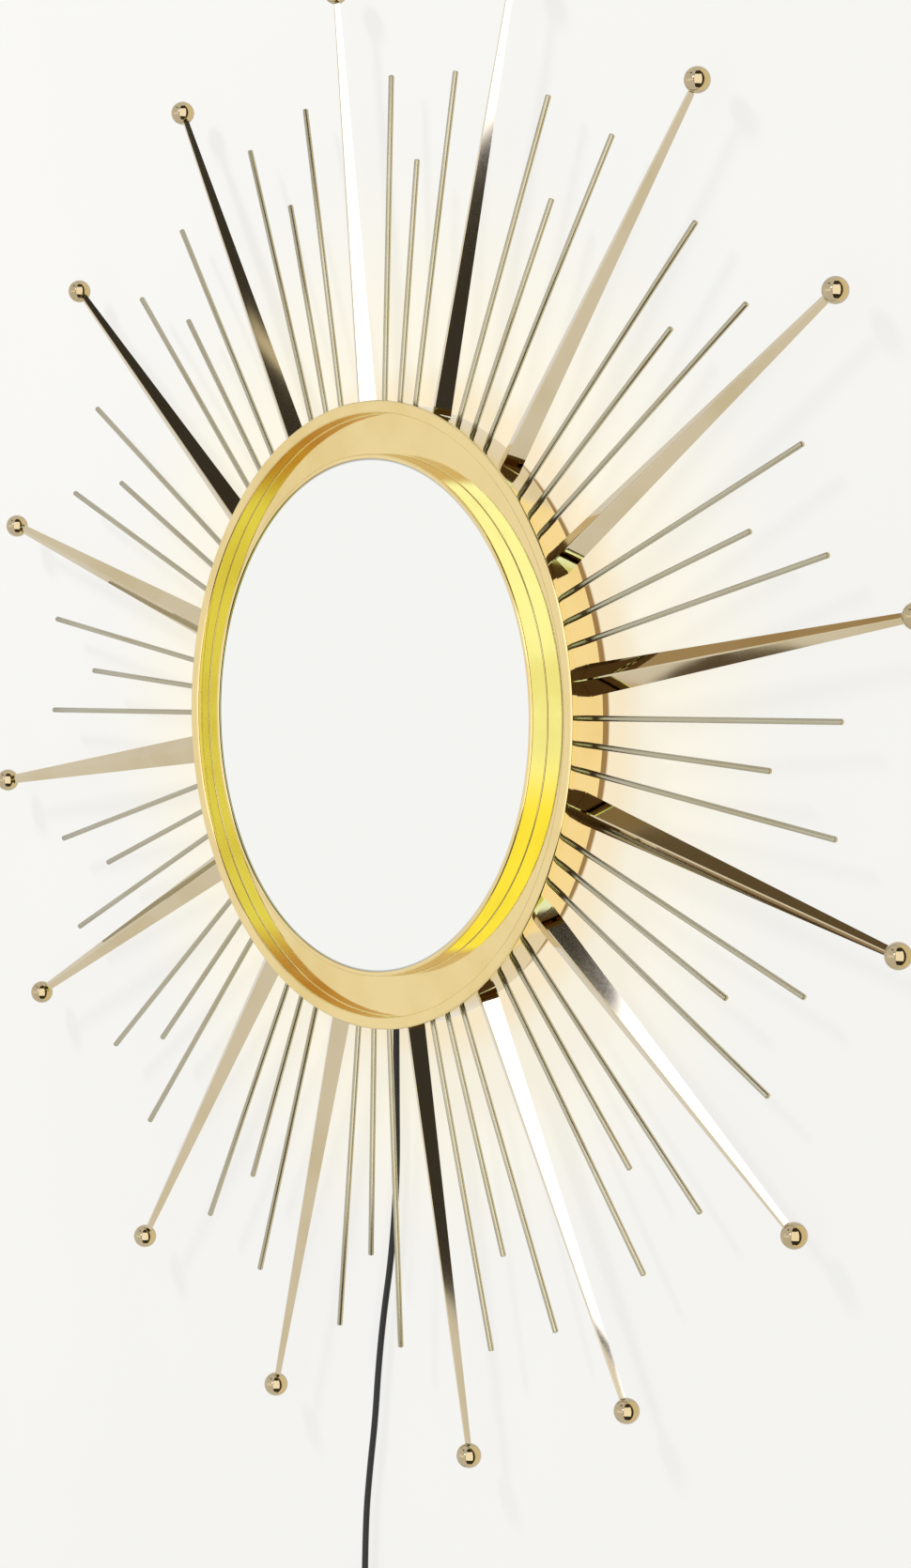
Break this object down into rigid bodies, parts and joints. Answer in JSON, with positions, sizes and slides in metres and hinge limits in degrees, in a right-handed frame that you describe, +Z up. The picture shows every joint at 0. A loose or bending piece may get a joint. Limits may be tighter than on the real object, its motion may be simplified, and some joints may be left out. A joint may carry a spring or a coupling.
{
  "type": "sunburst wall mirror",
  "caption": "Round wall mirror in a spun brass ring with folded ball-tipped rays and thin rods all round, a lit gap behind it, keyholes, and a lead with a switch and a plug-in supply.",
  "frame": {"origin": "middle of the back pan's crown, on the wall", "axes": "+Y into the wall, -Y the front that the picture shows, +X to the right seen from the front, +Z up"},
  "size_m": [0.7807, 0.0324, 1.0454],
  "materials": {
    "brass": "polished and lacquered",
    "mirror": "silvered float glass",
    "board": "plain hardboard",
    "zinc": "zinc plated",
    "pan": "satin powder coat",
    "tape": "matt",
    "chip": "resin filled",
    "wire": "smooth",
    "terminal": "moulded",
    "rubber": "moulded",
    "lead": "extruded, smooth",
    "switch": "fine spark texture",
    "rocker": "smooth",
    "tie": "woven hook-and-loop strap",
    "supply": "fine spark texture",
    "prong": "nickel plated"
  },
  "bodies": {
    "mirror": {"front_ring": "brass", "mirror_glass": "mirror", "backing_board": "board", "board_clips": "zinc", "clip_screws": "zinc", "drum_ring": "brass", "long_rods": "brass", "short_rods": "brass", "ray_01": "brass", "ray_02": "brass", "ray_03": "brass", "ray_04": "brass", "ray_05": "brass", "ray_06": "brass", "ray_07": "brass", "ray_08": "brass", "ray_09": "brass", "ray_10": "brass", "ray_11": "brass", "ray_12": "brass", "ray_13": "brass", "ray_14": "brass", "ray_15": "brass", "ray_16": "brass", "ball_01": "brass", "ball_02": "brass", "ball_03": "brass", "ball_04": "brass", "ball_05": "brass", "ball_06": "brass", "ball_07": "brass", "ball_08": "brass", "ball_09": "brass", "ball_10": "brass", "ball_11": "brass", "ball_12": "brass", "ball_13": "brass", "ball_14": "brass", "ball_15": "brass", "ball_16": "brass", "ray_nuts": "zinc", "back_pan": "pan", "pan_screws": "zinc", "led_tape": "tape", "led_chips": "chip", "led_leads": "wire", "terminal_block": "terminal", "cord_bush": "rubber", "cord_clamp": "terminal", "inner_screws": "zinc", "cord_run": "lead", "switch_base": "switch", "switch_cover": "switch", "switch_screws": "zinc", "cord_coil": "lead", "cord_ties": "tie", "adapter_body": "supply", "adapter_cover": "supply", "adapter_pins": "prong"},
    "rocker": {"switch_rocker": "rocker"}
  },
  "joints": [
    {"name": "rocker_tilt", "type": "hinge", "parent": "mirror", "child": "rocker", "pos_m": [-0.031, -0.0095, -0.5015], "axis": [1, 0, 0], "range_deg": [-16, 0]}
  ]
}
